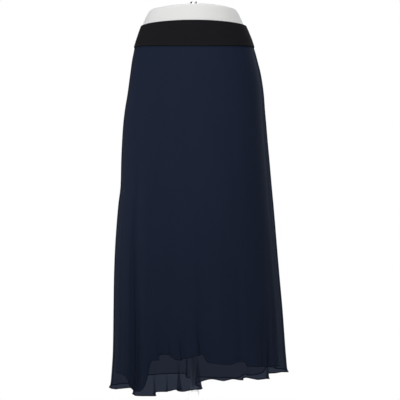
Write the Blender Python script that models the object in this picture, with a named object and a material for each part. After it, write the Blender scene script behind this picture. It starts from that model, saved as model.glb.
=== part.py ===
"""A maxi skirt on a hip form: a sheer pleated overlay over a shorter lining, under a wide flat waistband.

Metres, +Z up. The origin is the middle of the foot's underside. The front of the skirt faces -Y, and its
right side, seen from the front, is +X.

Two numbers give each place on the skirt:
- pleat, around it: 0 at the left side seam, 24 at the right one and 48 back at the left one. The front panel
  has pleats 0 to 24. Each whole number is the bottom of a valley between two pleats.
- share, down it: 0 at the waistband's lower edge and 1 at the hem.
"""

from collections import namedtuple
from math import cos, pi, radians, sin

import bmesh
import bpy
import numpy as np
from mathutils import Vector

# ---------------------------------------------------------------- driving dimensions, in metres

SEAM_GAP = 0.0003  # between pieces that are sewn or seated together
CLOTH_WALL = 0.0015  # the overlay and the lining
BAND_WALL = 0.0024  # the band is folded double

PANEL_PLEATS = 24
PLEATS = 2 * PANEL_PLEATS
OVERLAY_STEPS = 4  # mesh columns for each pleat
LINING_STEPS = 2

BAND_TOP = 1.0688
BAND_SIDE_EDGE = 1.0090  # height of the band's lower edge over the hips
BAND_DIP = 0.0100  # how much lower that edge is at the middle of the front and back

POLE_RADIUS = 0.0090
SPIGOT_RADIUS = 0.0100
SPIGOT_TOP = 1.1310
FLANGE_RADIUS = 0.0155  # the rim that the spigot stands on
FLANGE_THICK = 0.0034
BASE_RADIUS = 0.165
BASE_THICK = 0.008
BASE_EDGE = 0.002  # the bevel on the foot's edges
SOCKET_RADIUS = 0.014  # the foot's tall socket, which the pole stands on
SOCKET_TOP = 0.104
SOCKET_FLARE = 0.004  # how far the socket widens where it meets the foot
ROUND_SIDES = 32
FORM_COLUMNS = 48
BAND_COLUMNS = 64
BAND_ROWS = (0.0, 0.34, 0.67, 1.0)
STEEPEST_CORNER = 0.62  # keeps a wall's inner corner from running far out at a sharp fold

# How far the skirt's outline reaches from the axis, at each height.
SkirtSection = namedtuple("SkirtSection", "height left right front back")
SKIRT_SECTIONS = (
    SkirtSection(0.090, 0.2270, 0.2540, 0.190, 0.196),
    SkirtSection(0.150, 0.2215, 0.2500, 0.188, 0.194),
    SkirtSection(0.208, 0.2175, 0.2440, 0.185, 0.191),
    SkirtSection(0.314, 0.2160, 0.2350, 0.179, 0.185),
    SkirtSection(0.393, 0.2147, 0.2280, 0.174, 0.181),
    SkirtSection(0.473, 0.2120, 0.2220, 0.169, 0.177),
    SkirtSection(0.539, 0.2080, 0.2180, 0.164, 0.173),
    SkirtSection(0.592, 0.2040, 0.2130, 0.160, 0.170),
    SkirtSection(0.645, 0.1975, 0.2085, 0.156, 0.167),
    SkirtSection(0.711, 0.1950, 0.2040, 0.150, 0.162),
    SkirtSection(0.765, 0.1935, 0.1985, 0.145, 0.157),
    SkirtSection(0.804, 0.1895, 0.1950, 0.141, 0.153),
    SkirtSection(0.844, 0.1850, 0.1910, 0.137, 0.149),
    SkirtSection(0.883, 0.1775, 0.1870, 0.133, 0.145),
    SkirtSection(0.936, 0.1720, 0.1780, 0.129, 0.139),
    SkirtSection(0.976, 0.1670, 0.1690, 0.125, 0.131),
    SkirtSection(1.000, 0.1610, 0.1620, 0.121, 0.125),
    SkirtSection(1.009, 0.1592, 0.1597, 0.119, 0.122),
)

BandSection = namedtuple("BandSection", "height left right front back")
BAND_SECTIONS = (
    BandSection(0.999, 0.1612, 0.1617, 0.1210, 0.1240),
    BandSection(1.009, 0.1590, 0.1595, 0.1190, 0.1220),
    BandSection(1.025, 0.1545, 0.1550, 0.1160, 0.1190),
    BandSection(1.045, 0.1475, 0.1480, 0.1125, 0.1150),
    BandSection(1.0688, 0.1385, 0.1385, 0.1080, 0.1100),
)

# The hip form, from the rounded rim of its flat top down to its flat underside.
FormSection = namedtuple("FormSection", "height side front back")
FORM_SECTIONS = (
    FormSection(1.1100, 0.1120, 0.0850, 0.0860),
    FormSection(1.1080, 0.1172, 0.0895, 0.0905),
    FormSection(1.1020, 0.1215, 0.0935, 0.0945),
    FormSection(1.0850, 0.1295, 0.1000, 0.1015),
    FormSection(1.0688, 0.1357, 0.1052, 0.1072),
    FormSection(1.0450, 0.1440, 0.1083, 0.1108),
    FormSection(1.0090, 0.1522, 0.1122, 0.1150),
    FormSection(0.9800, 0.1578, 0.1148, 0.1196),
    FormSection(0.9450, 0.1612, 0.1182, 0.1256),
    FormSection(0.9000, 0.1652, 0.1215, 0.1320),
    FormSection(0.8500, 0.1675, 0.1225, 0.1350),
    FormSection(0.8150, 0.1655, 0.1200, 0.1320),
    FormSection(0.7960, 0.1560, 0.1120, 0.1230),
    FormSection(0.7900, 0.1430, 0.1000, 0.1110),
)

# How the cloth opens out on its way down: how deep each pleat is, and how far in the lining lies.
Drape = namedtuple("Drape", "share pleat_depth lining_inset")
DRAPE = (
    Drape(0.00, 0.0010, 0.0040),
    Drape(0.12, 0.0016, 0.0060),
    Drape(0.40, 0.0030, 0.0105),
    Drape(0.75, 0.0050, 0.0160),
    Drape(1.00, 0.0068, 0.0195),
)

# The deepest folds. Each lies in the valley of a pleat and pulls it to an angle, in degrees from the middle
# of the front. It is this deep at the hem, starts this far down, and its left side laps over it by this
# share of a pleat, or its right side does where lap is negative.
Fold = namedtuple("Fold", "pleat angle depth start lap")
FOLDS = (
    Fold(0, -90.0, 0.004, 0.60, 0.00),
    Fold(3, -70.0, 0.006, 0.55, 0.00),
    Fold(6, -49.9, 0.020, 0.28, -0.25),
    Fold(8, -28.7, 0.012, 0.62, 0.42),
    Fold(10, -10.9, 0.008, 0.70, 0.34),
    Fold(12, 3.2, 0.018, 0.50, 0.42),
    Fold(15, 31.8, 0.005, 0.70, 0.20),
    Fold(19, 53.0, 0.016, 0.55, 0.30),
    Fold(21, 69.0, 0.005, 0.60, 0.00),
    Fold(24, 90.0, 0.006, 0.50, 0.00),
    Fold(27, 111.0, 0.014, 0.45, 0.00),
    Fold(31, 141.0, 0.018, 0.50, 0.30),
    Fold(34, 165.0, 0.008, 0.60, 0.00),
    Fold(37, 185.5, 0.016, 0.40, -0.30),
    Fold(40, 211.0, 0.006, 0.60, 0.00),
    Fold(43, 232.0, 0.016, 0.50, 0.30),
    Fold(46, 255.0, 0.010, 0.55, 0.00),
    Fold(48, 270.0, 0.004, 0.60, 0.00),
)

# Heights of the two hems around the skirt.
HemPoint = namedtuple("HemPoint", "pleat height")
OVERLAY_HEM = (
    HemPoint(0.0, 0.1115),
    HemPoint(3.0, 0.1135),
    HemPoint(5.0, 0.1220),
    HemPoint(5.8, 0.1235),
    HemPoint(6.2, 0.1065),
    HemPoint(7.2, 0.1090),
    HemPoint(7.8, 0.1100),
    HemPoint(8.2, 0.1195),
    HemPoint(9.2, 0.1235),
    HemPoint(9.8, 0.1280),
    HemPoint(10.2, 0.1245),
    HemPoint(10.6, 0.1250),
    HemPoint(11.0, 0.1270),
    HemPoint(11.8, 0.1290),
    HemPoint(12.2, 0.1500),
    HemPoint(13.0, 0.1560),
    HemPoint(14.0, 0.1505),
    HemPoint(14.5, 0.1535),
    HemPoint(14.8, 0.1505),
    HemPoint(15.2, 0.1550),
    HemPoint(16.0, 0.1535),
    HemPoint(17.0, 0.1490),
    HemPoint(18.8, 0.1460),
    HemPoint(19.2, 0.1590),
    HemPoint(21.0, 0.1580),
    HemPoint(24.0, 0.1505),
    HemPoint(27.0, 0.1495),
    HemPoint(29.0, 0.1480),
    HemPoint(29.8, 0.1290),
    HemPoint(30.8, 0.1210),
    HemPoint(31.2, 0.1240),
    HemPoint(32.5, 0.1085),
    HemPoint(36.8, 0.1085),
    HemPoint(37.2, 0.1200),
    HemPoint(42.8, 0.1190),
    HemPoint(43.2, 0.1030),
    HemPoint(46.0, 0.1080),
    HemPoint(48.0, 0.1115),
)
LINING_HEM = (
    HemPoint(0.0, 0.1500),
    HemPoint(3.0, 0.1530),
    HemPoint(4.5, 0.1500),
    HemPoint(5.5, 0.1400),
    HemPoint(6.2, 0.1190),
    HemPoint(6.9, 0.1210),
    HemPoint(7.25, 0.1435),
    HemPoint(7.6, 0.1960),
    HemPoint(7.8, 0.1975),
    HemPoint(8.2, 0.2120),
    HemPoint(8.8, 0.2130),
    HemPoint(9.2, 0.2060),
    HemPoint(9.6, 0.1995),
    HemPoint(10.0, 0.1995),
    HemPoint(10.3, 0.2035),
    HemPoint(11.0, 0.2060),
    HemPoint(12.3, 0.2145),
    HemPoint(12.5, 0.2110),
    HemPoint(12.8, 0.1940),
    HemPoint(14.4, 0.1880),
    HemPoint(14.8, 0.1935),
    HemPoint(15.6, 0.1930),
    HemPoint(15.9, 0.1815),
    HemPoint(17.0, 0.1790),
    HemPoint(18.0, 0.1770),
    HemPoint(19.2, 0.1750),
    HemPoint(21.0, 0.1730),
    HemPoint(24.0, 0.1650),
    HemPoint(30.0, 0.1900),
    HemPoint(36.0, 0.1970),
    HemPoint(42.0, 0.1800),
    HemPoint(48.0, 0.1500),
)

OVERLAY_ROWS = (0.0, 0.03, 0.08, 0.15, 0.24, 0.36, 0.50, 0.64, 0.78, 0.90, 1.0)
LINING_ROWS = (0.0, 0.03, 0.08, 0.15, 0.28, 0.46, 0.66, 0.84, 1.0)
LINING_FOLD_SHARE = 0.8  # the lining falls into the folds too, but less deeply
LEFT_CLOSENESS = 0.45  # round the left side of its hem the lining lies closer to the overlay, by this share
LEFT_REACH = 8.0  # how many pleats to each side of the left seam lie so close

# ---------------------------------------------------------------- reading the tables


def along(rows, column, place):
    """A column's value at a place along the rows' first column, on a smooth curve with no overshoot."""
    places = np.array([row[0] for row in rows])
    values = np.array([getattr(row, column) for row in rows])
    steps = np.diff(values) / np.diff(places)
    before, after = steps[:-1], steps[1:]
    turning = before * after <= 0
    middle = np.where(turning, 0.0, 2 * before * after / np.where(turning, 1.0, before + after))
    slopes = np.concatenate((steps[:1], middle, steps[-1:]))
    place = min(max(place, places[0]), places[-1])
    high = int(np.clip(np.searchsorted(places, place), 1, len(places) - 1))
    low = high - 1
    span = places[high] - places[low]
    t = (place - places[low]) / span
    bend = (slopes[low] * (1 - t) ** 2 * t - slopes[high] * (1 - t) * t**2) * span
    return float(values[low] + (values[high] - values[low]) * t * t * (3 - 2 * t) + bend)


def straight(rows, column, place):
    """A column's value at a place along the rows' first column, on straight lines between the rows."""
    return float(np.interp(place, [row[0] for row in rows], [getattr(row, column) for row in rows]))


def bump(distance, half_width):
    """1 at no distance, falling smoothly to 0 at half_width."""
    return cos(0.5 * pi * distance / half_width) ** 2 if abs(distance) < half_width else 0.0


# ---------------------------------------------------------------- the skirt's surface


def ring_point(section, height, angle, inward):
    """The point of an oval ring at an angle in degrees from the middle of the front, moved inward."""
    left, right, front, back = section
    side = right if sin(radians(angle)) > 0 else left
    depth = front if cos(radians(angle)) > 0 else back
    return Vector(
        (
            (side - inward) * sin(radians(angle)),
            -(depth - inward) * cos(radians(angle)),
            height,
        )
    )


def skirt_section(height):
    return [along(SKIRT_SECTIONS, column, height) for column in ("left", "right", "front", "back")]


def band_section(height):
    return [along(BAND_SECTIONS, column, height) for column in ("left", "right", "front", "back")]


def band_lower_edge(angle):
    return BAND_SIDE_EDGE - BAND_DIP * cos(radians(angle)) ** 2


def folds_at(pleat, share):
    """How deep the folds are at a place, and how far they pull it round, as a share of a pleat."""
    depth = 0.0
    shift = 0.0
    for fold in FOLDS:
        growth = max(0.0, (share - fold.start) / (1 - fold.start))
        distance = pleat - fold.pleat
        side = 1 if fold.lap >= 0 else -1
        depth += fold.depth * growth * bump(distance, 1.0)
        lip = bump(distance + 0.25 * side, 0.25)
        shift += fold.lap * growth * (lip - 0.5 * bump(distance, 0.25))
    return depth, shift


def skirt_point(pleat, share, hem, pleated, fold_share, inset):
    """A point of the overlay's surface, or of another layer that lies inset inside it."""
    fold_depth, shift = folds_at(pleat % PLEATS, share)
    angle = straight(FOLDS, "angle", pleat % PLEATS)
    angle += fold_share * shift * 360 / PLEATS
    top = band_lower_edge(angle) - SEAM_GAP
    bottom = along(hem, "height", pleat % PLEATS)
    height = top + (bottom - top) * share
    inward = fold_share * fold_depth + inset
    if pleated:
        inward += along(DRAPE, "pleat_depth", share) * (0.5 + 0.5 * cos(2 * pi * pleat))
    return ring_point(skirt_section(height), height, angle, inward)


def overlay_point(pleat, share):
    return skirt_point(pleat, share, OVERLAY_HEM, True, 1.0, 0.0)


def lining_point(pleat, share):
    from_left = min(pleat % PLEATS, PLEATS - pleat % PLEATS)
    closeness = 1 - LEFT_CLOSENESS * share * bump(from_left, LEFT_REACH)
    inset = along(DRAPE, "lining_inset", share) * closeness
    return skirt_point(pleat, share, LINING_HEM, False, LINING_FOLD_SHARE, inset)


# ---------------------------------------------------------------- walls of cloth


def ring_of_cloth(point, share, columns, pleats_each):
    return [point(column * pleats_each, share) for column in range(columns)]


def moved_inward(ring, wall):
    """The ring's points, each moved in by the wall's thickness, at right angles to the ring in plan."""
    inner = []
    for index, here in enumerate(ring):
        before = (here - ring[index - 1]).xy.normalized()
        after = (ring[(index + 1) % len(ring)] - here).xy.normalized()
        outward = Vector((before.y + after.y, -before.x - after.x)).normalized()
        squareness = max(STEEPEST_CORNER, outward.dot(Vector((before.y, -before.x))))
        step = outward * wall / squareness
        inner.append(here - Vector((step.x, step.y, 0)))
    return inner


def toward(here, there, distance):
    return here + (there - here).normalized() * distance


def grid_faces(mesh, grid, closed):
    """Faces between neighbouring rows of points; closed joins each row's end to its start."""
    for upper, lower in zip(grid, grid[1:]):
        last = len(upper) if closed else len(upper) - 1
        for column in range(last):
            beside = (column + 1) % len(upper)
            mesh.faces.new((upper[column], lower[column], lower[beside], upper[beside]))


def cloth_wall(name, outer_rows, inner_rows, closed, material):
    """A closed solid from the outer and inner points of each row, top row first."""
    mesh = bmesh.new()
    outer = [[mesh.verts.new(point) for point in row] for row in outer_rows]
    inner = [[mesh.verts.new(point) for point in row] for row in inner_rows]
    grid_faces(mesh, outer, closed)
    grid_faces(mesh, [list(reversed(row)) for row in inner], closed)
    grid_faces(mesh, [inner[0], outer[0]], closed)
    grid_faces(mesh, [outer[-1], inner[-1]], closed)
    if not closed:
        grid_faces(mesh, [[row[0] for row in outer], [row[0] for row in inner]], False)
        grid_faces(mesh, [[row[-1] for row in inner], [row[-1] for row in outer]], False)
    return finish(name, mesh, material)


def skirt_panels(names, point, rows, steps, material):
    """The front and back panels of one layer, each a gap short of the side seams."""
    columns = PLEATS * steps
    outer = [ring_of_cloth(point, share, columns, 1 / steps) for share in rows]
    inner = [moved_inward(ring, CLOTH_WALL) for ring in outer]
    seams = (0, columns // 2, columns)
    for name, first, last in zip(names, seams, seams[1:]):
        faces = []
        for layer in (outer, inner):
            panel = [[ring[column % columns] for column in range(first, last + 1)] for ring in layer]
            for row in panel:
                row[0] = toward(row[0], row[1], SEAM_GAP / 2)
                row[-1] = toward(row[-1], row[-2], SEAM_GAP / 2)
            faces.append(panel)
        cloth_wall(name, *faces, False, material)


# ---------------------------------------------------------------- objects and materials


def material_of(name, colour, roughness, metallic=0.0):
    made = bpy.data.materials.new(name)
    made.use_nodes = True
    shader = made.node_tree.nodes["Principled BSDF"]
    shader.inputs["Base Color"].default_value = (*colour, 1)
    shader.inputs["Roughness"].default_value = roughness
    shader.inputs["Metallic"].default_value = metallic
    return made


def finish(name, mesh, material):
    """Turns a bmesh into a named, smooth-shaded object with outward faces."""
    bmesh.ops.remove_doubles(mesh, verts=mesh.verts, dist=1e-7)
    bmesh.ops.recalc_face_normals(mesh, faces=mesh.faces)
    data = bpy.data.meshes.new(name)
    mesh.to_mesh(data)
    mesh.free()
    data.materials.append(material)
    data.shade_smooth()
    data.set_sharp_from_angle(angle=radians(50))
    made = bpy.data.objects.new(name, data)
    bpy.context.scene.collection.objects.link(made)
    return made


def turned(name, profile, material):
    """A solid of revolution from (radius, height) points, bottom to top, closed at both ends on the axis."""
    mesh = bmesh.new()
    rings = []
    for radius, height in profile:
        ring = []
        for side in range(ROUND_SIDES):
            turn = 2 * pi * side / ROUND_SIDES
            ring.append(mesh.verts.new((radius * cos(turn), radius * sin(turn), height)))
        rings.append(ring)
    grid_faces(mesh, rings, True)
    mesh.faces.new(rings[0])
    mesh.faces.new(rings[-1])
    return finish(name, mesh, material)


# ---------------------------------------------------------------- the sub-parts


def make_waistband():
    black_cloth = material_of("band_black", (0.011, 0.011, 0.012), 0.95)
    outer = []
    for share in BAND_ROWS:
        ring = []
        for column in range(BAND_COLUMNS):
            angle = 360 * column / BAND_COLUMNS
            height = BAND_TOP + (band_lower_edge(angle) - BAND_TOP) * share
            ring.append(ring_point(band_section(height), height, angle, 0.0))
        outer.append(ring)
    inner = [moved_inward(ring, BAND_WALL) for ring in outer]
    cloth_wall("waistband", outer, inner, True, black_cloth)


def make_skirt():
    navy_sheer = material_of("overlay_navy", (0.010, 0.014, 0.028), 0.80)
    names = ("skirt_front", "skirt_back")
    skirt_panels(names, overlay_point, OVERLAY_ROWS, OVERLAY_STEPS, navy_sheer)


def make_lining():
    navy_plain = material_of("lining_navy", (0.008, 0.011, 0.022), 0.75)
    names = ("lining_front", "lining_back")
    skirt_panels(names, lining_point, LINING_ROWS, LINING_STEPS, navy_plain)


def make_form():
    white = material_of("form_white", (0.80, 0.80, 0.79), 0.45)
    mesh = bmesh.new()
    rings = []
    for section in FORM_SECTIONS:
        extents = (section.side, section.side, section.front, section.back)
        ring = []
        for column in range(FORM_COLUMNS):
            angle = 360 * column / FORM_COLUMNS
            ring.append(mesh.verts.new(ring_point(extents, section.height, angle, 0.0)))
        rings.append(ring)
    grid_faces(mesh, rings, True)
    mesh.faces.new(rings[0])
    mesh.faces.new(rings[-1])
    finish("form_body", mesh, white)


def make_stand():
    white_steel = material_of("stand_white", (0.80, 0.80, 0.80), 0.40)
    dark_steel = material_of("pole_steel", (0.075, 0.078, 0.085), 0.45)
    base = (
        (BASE_RADIUS - BASE_EDGE, 0.0),
        (BASE_RADIUS, BASE_EDGE),
        (BASE_RADIUS, BASE_THICK - BASE_EDGE),
        (BASE_RADIUS - BASE_EDGE, BASE_THICK),
        (SOCKET_RADIUS + SOCKET_FLARE, BASE_THICK),
        (SOCKET_RADIUS, BASE_THICK + SOCKET_FLARE),
        (SOCKET_RADIUS, SOCKET_TOP - BASE_EDGE),
        (SOCKET_RADIUS - BASE_EDGE, SOCKET_TOP),
    )
    turned("form_base", base, white_steel)
    pole_top = FORM_SECTIONS[-1].height - SEAM_GAP
    pole_foot = SOCKET_TOP + SEAM_GAP
    turned("form_pole", ((POLE_RADIUS, pole_foot), (POLE_RADIUS, pole_top)), dark_steel)


def make_spigot():
    chrome = material_of("spigot_chrome", (0.72, 0.72, 0.73), 0.15, 1.0)
    seat = FORM_SECTIONS[0].height + SEAM_GAP
    bevel = 0.1 * SPIGOT_RADIUS
    profile = (
        (FLANGE_RADIUS, seat),
        (FLANGE_RADIUS, seat + FLANGE_THICK - bevel),
        (FLANGE_RADIUS - bevel, seat + FLANGE_THICK),
        (SPIGOT_RADIUS, seat + FLANGE_THICK),
        (SPIGOT_RADIUS, SPIGOT_TOP - 2 * bevel),
        (SPIGOT_RADIUS - 2 * bevel, SPIGOT_TOP),
    )
    turned("form_spigot", profile, chrome)


for leftover in list(bpy.data.objects):
    bpy.data.objects.remove(leftover)

make_waistband()
make_skirt()
make_lining()
make_form()
make_stand()
make_spigot()
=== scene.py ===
# %% [markdown]
# # A maxi skirt on a hip form
# The skirt is a sheer pleated overlay over a shorter, opaque lining, and both hang from a wide black
# elastic band. A white hip form fills the band, and a pole and a round foot hold the form up. The packed
# model gives the true sizes. Each step below lays a finer, softer piece over one of its solids.

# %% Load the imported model
from collections import namedtuple
from math import cos, pi, radians, sin

import bmesh
import bpy
import numpy as np
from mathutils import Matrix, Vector


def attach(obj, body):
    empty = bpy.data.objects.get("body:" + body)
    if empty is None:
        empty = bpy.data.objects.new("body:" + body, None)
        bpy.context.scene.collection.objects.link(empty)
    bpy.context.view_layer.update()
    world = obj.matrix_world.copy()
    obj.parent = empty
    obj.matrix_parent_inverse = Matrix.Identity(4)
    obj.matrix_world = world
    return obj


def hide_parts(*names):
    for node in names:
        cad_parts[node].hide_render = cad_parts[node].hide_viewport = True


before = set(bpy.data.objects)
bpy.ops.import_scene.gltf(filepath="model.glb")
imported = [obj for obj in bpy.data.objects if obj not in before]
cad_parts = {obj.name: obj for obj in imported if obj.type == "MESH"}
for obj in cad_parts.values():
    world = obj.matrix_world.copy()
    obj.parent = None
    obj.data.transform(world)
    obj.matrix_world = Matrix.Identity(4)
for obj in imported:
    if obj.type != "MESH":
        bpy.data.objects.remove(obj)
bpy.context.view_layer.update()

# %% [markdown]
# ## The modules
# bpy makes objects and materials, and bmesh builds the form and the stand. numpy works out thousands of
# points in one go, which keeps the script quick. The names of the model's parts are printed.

print("nodes:", sorted(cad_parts))

# %% [markdown]
# ## The camera
# The photograph looks straight at the front from the height of the knees, through a long lens, so the band
# curves up and the hem curves down only a little. A short lens close by could frame the skirt too, but it
# would swell the hips. A level camera with no shift gives the same view as the photograph's.

# %% Camera
CAMERA_PLACE = (0.016, -3.45, 0.605)
LENS = 117  # millimetres
SENSOR_WIDTH = 36  # millimetres

camera = bpy.data.objects.new("camera", bpy.data.cameras.new("camera"))
camera.location = CAMERA_PLACE
camera.rotation_euler = (radians(90), 0, 0)
camera.data.sensor_width = SENSOR_WIDTH
camera.data.lens = LENS
bpy.context.scene.collection.objects.link(camera)
bpy.context.scene.camera = camera
print("camera at", CAMERA_PLACE, "lens", LENS)

# %% [markdown]
# ## The studio
# Cut-out photographs have a pure white ground, but what shines through sheer cloth is the darker studio
# that was behind it. A plain white world would turn the overlay's lower edge pale. The world's shader can
# tell the two apart: a ray from the camera that meets the world directly gets white, one that has passed a
# see-through surface gets a dim blue, and the light on everything comes from a soft grey.

# %% World
WHITE = (1, 1, 1)
AMBIENT = (0.25, 0.25, 0.25)  # the light that comes from all round
BEHIND_CLOTH = (0.0380, 0.0450, 0.0680)  # what shows through the overlay where nothing stands behind it
MOST_LAYERS = 24  # how many see-through layers a ray may pass, as folds stack up at the hem

scene = bpy.context.scene
scene.view_settings.view_transform = "Standard"
scene.cycles.transparent_max_bounces = MOST_LAYERS
world = bpy.data.worlds.new("studio")
scene.world = world
world.use_nodes = True
sky = world.node_tree
sky.nodes.clear()


def background(colour):
    made = sky.nodes.new("ShaderNodeBackground")
    made.inputs["Color"].default_value = (*colour, 1)
    return made.outputs[0]


def either(factor, first, second):
    made = sky.nodes.new("ShaderNodeMixShader")
    for socket, value in zip(made.inputs, (factor, first, second)):
        sky.links.new(value, socket)
    return made.outputs[0]


path = sky.nodes.new("ShaderNodeLightPath").outputs
seen = either(path["Transparent Depth"], background(WHITE), background(BEHIND_CLOTH))
out = sky.nodes.new("ShaderNodeOutputWorld")
sky.links.new(either(path["Is Camera Ray"], background(AMBIENT), seen), out.inputs["Surface"])
print("ambient light", AMBIENT, "behind the cloth", BEHIND_CLOTH)

# %% [markdown]
# ## Lights
# Dark cloth needs broad, soft light, or its folds sink into black. One sun lamp would be simpler, but it
# gives hard shadows. Here a large key lamp high on the left makes the slow fall of brightness across the
# front, a fill on the right keeps that side open, and a third overhead whitens the floor. Two rim lamps
# behind the form brighten the sides that turn away. The last two are small, low and narrow: they light the
# white socket below the hem, so that it is as bright as the ground, and leave dark the steel pole that the
# overlay half hides.

# %% Lights
Lamp = namedtuple("Lamp", "name place target wide tall watts spread warmth")
LAMPS = (
    Lamp("key", (-0.62, -2.55, 2.00), (0, 0, 0.84), 1.1, 1.1, 4.95, 48, 0.0),
    Lamp("fill", (2.20, -2.00, 1.45), (0, 0, 0.70), 1.5, 1.5, 7.6, 180, 0.0),
    Lamp("top", (0.00, 0.40, 3.00), (0, 0, 0.00), 2.2, 2.2, 20, 180, 0.0),
    Lamp("left rim", (-2.20, 0.75, 0.56), (0, 0, 0.62), 1.0, 1.0, 1.35, 38, -0.12),
    Lamp("right rim", (1.70, 1.95, 1.35), (0, 0, 0.90), 1.2, 1.2, 26, 180, -0.12),
    Lamp("left foot", (-0.80, -0.80, 0.040), (0, 0, 0.076), 0.1, 0.03, 0.0155, 4, 0.0),
    Lamp("right foot", (0.80, -0.80, 0.040), (0, 0, 0.076), 0.1, 0.03, 0.0155, 4, 0.0),
)


def lit(lamp):
    """An area lamp that looks at its target. Its spread is the width of its beam, in degrees."""
    light = bpy.data.lights.new(lamp.name, "AREA")
    light.shape = "RECTANGLE"
    light.size = lamp.wide
    light.size_y = lamp.tall
    light.energy = lamp.watts
    light.spread = radians(lamp.spread)
    light.color = (1 + lamp.warmth, 1 + 0.5 * lamp.warmth, 1)
    holder = bpy.data.objects.new(lamp.name, light)
    holder.location = lamp.place
    holder.rotation_euler = (Vector(lamp.target) - Vector(lamp.place)).to_track_quat("-Z", "Y").to_euler()
    scene.collection.objects.link(holder)


for lamp in LAMPS:
    lit(lamp)
print("lights:", [lamp.name for lamp in LAMPS])

# %% [markdown]
# ## Reading tables of sizes
# The skirt's shape is held in short tables, such as how far it reaches at each height. Between two rows the
# value follows a smooth curve. Straight lines would leave corners, and a plain cubic would swing past the
# rows, so each slope is the harmonic mean of the steps beside it, which does neither.

# %% Curves through tables


def along(rows, column, place):
    """A column's values at places along the rows' first column, on a smooth curve with no overshoot."""
    places = np.array([row[0] for row in rows], dtype=float)
    values = np.array([getattr(row, column) for row in rows], dtype=float)
    steps = np.diff(values) / np.diff(places)
    before, after = steps[:-1], steps[1:]
    turning = before * after <= 0
    middle = np.where(turning, 0.0, 2 * before * after / np.where(turning, 1.0, before + after))
    slopes = np.concatenate((steps[:1], middle, steps[-1:]))
    place = np.clip(place, places[0], places[-1])
    high = np.clip(np.searchsorted(places, place), 1, len(places) - 1)
    low = high - 1
    span = places[high] - places[low]
    t = (place - places[low]) / span
    bend = (slopes[low] * (1 - t) ** 2 * t - slopes[high] * (1 - t) * t**2) * span
    return values[low] + (values[high] - values[low]) * t * t * (3 - 2 * t) + bend


def straight(rows, column, place):
    """A column's values on straight lines between the rows."""
    return np.interp(place, [row[0] for row in rows], [getattr(row, column) for row in rows])


def bump(distance, half_width):
    """1 at no distance, falling smoothly to 0 at half_width."""
    near = np.abs(distance) < half_width
    return np.where(near, np.cos(0.5 * pi * np.clip(distance / half_width, -1, 1)) ** 2, 0.0)


print("a bump half way out:", round(float(bump(0.5, 1.0)), 3))

# %% [markdown]
# ## The skirt's outline
# Seen from above, the skirt is an oval that is wider to one side, so each row gives four reaches from the
# axis, in metres. The band is a shorter table of the same kind. The solids could be smoothed instead, but a
# table lets the cloth pass through thousands of points and still keep to the photograph's outline.

# %% Outline tables
Section = namedtuple("Section", "height left right front back")
SKIRT_SECTIONS = (
    Section(0.090, 0.2249, 0.2540, 0.190, 0.196),
    Section(0.150, 0.2194, 0.2497, 0.188, 0.194),
    Section(0.208, 0.2159, 0.2445, 0.185, 0.191),
    Section(0.314, 0.2141, 0.2366, 0.179, 0.185),
    Section(0.393, 0.2128, 0.2291, 0.174, 0.181),
    Section(0.473, 0.2096, 0.2217, 0.169, 0.177),
    Section(0.539, 0.2053, 0.2159, 0.164, 0.173),
    Section(0.592, 0.2008, 0.2110, 0.160, 0.170),
    Section(0.645, 0.1946, 0.2061, 0.156, 0.167),
    Section(0.711, 0.1930, 0.2003, 0.150, 0.162),
    Section(0.765, 0.1905, 0.1953, 0.145, 0.157),
    Section(0.804, 0.1879, 0.1921, 0.141, 0.153),
    Section(0.844, 0.1833, 0.1885, 0.137, 0.149),
    Section(0.883, 0.1768, 0.1857, 0.133, 0.145),
    Section(0.936, 0.1696, 0.1780, 0.129, 0.139),
    Section(0.976, 0.1641, 0.1681, 0.125, 0.131),
    Section(1.000, 0.1597, 0.1620, 0.121, 0.125),
    Section(1.009, 0.1592, 0.1597, 0.119, 0.122),
    Section(1.018, 0.1572, 0.1577, 0.1175, 0.1205),
)
BAND_SECTIONS = (
    Section(0.999, 0.1618, 0.1627, 0.1210, 0.1240),
    Section(1.009, 0.1597, 0.1607, 0.1190, 0.1220),
    Section(1.025, 0.1550, 0.1560, 0.1160, 0.1190),
    Section(1.045, 0.1484, 0.1482, 0.1125, 0.1150),
    Section(1.0688, 0.1398, 0.1378, 0.1080, 0.1100),
)
BAND_TOP = 1.0688  # its top edge at the middle of the front and the back
BAND_TOP_DIP = 0.0036  # how much lower the top edge is at the sides
BAND_SIDE_EDGE = 1.0090  # its lower edge at the sides
BAND_DIP = 0.0092  # how much lower the lower edge is at the front and the back
print("skirt sections:", len(SKIRT_SECTIONS), "band sections:", len(BAND_SECTIONS))

# %% Ovals


def reaches(rows, place, angle):
    """How far a table's ovals reach to the side and in depth, at angles from the middle of the front."""
    left, right, front, back = (along(rows, side, place) for side in ("left", "right", "front", "back"))
    return np.where(np.sin(angle) > 0, right, left), np.where(np.cos(angle) > 0, front, back)


def oval(sections, height, angle, inward):
    """Points at these heights and angles, in radians, moved inward from the table's ovals."""
    side, depth = reaches(sections, height, angle)
    x = (side - inward) * np.sin(angle)
    y = -(depth - inward) * np.cos(angle)
    return np.stack((x, y, height + 0 * angle), axis=-1)


def band_lower_edge(angle):
    return BAND_SIDE_EDGE - BAND_DIP * np.cos(angle) ** 2


print("band's lower edge at the front:", round(float(band_lower_edge(0.0)), 4))

# %% [markdown]
# ## Folds
# Cloth that is wider at the hem than at the waist drops into folds. A cloth simulation would drop it into
# folds of its own, so these are placed where the photograph has them, with similar ones on the
# back. Each row is one: the pleat that it lies in, the angle it hangs at in degrees, how deep it is at the
# hem, how far down it starts as a share of the length, and how far one of its sides laps over, in pleats.

# %% Fold table
PANEL_PLEATS = 24
PLEATS = 2 * PANEL_PLEATS

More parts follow.
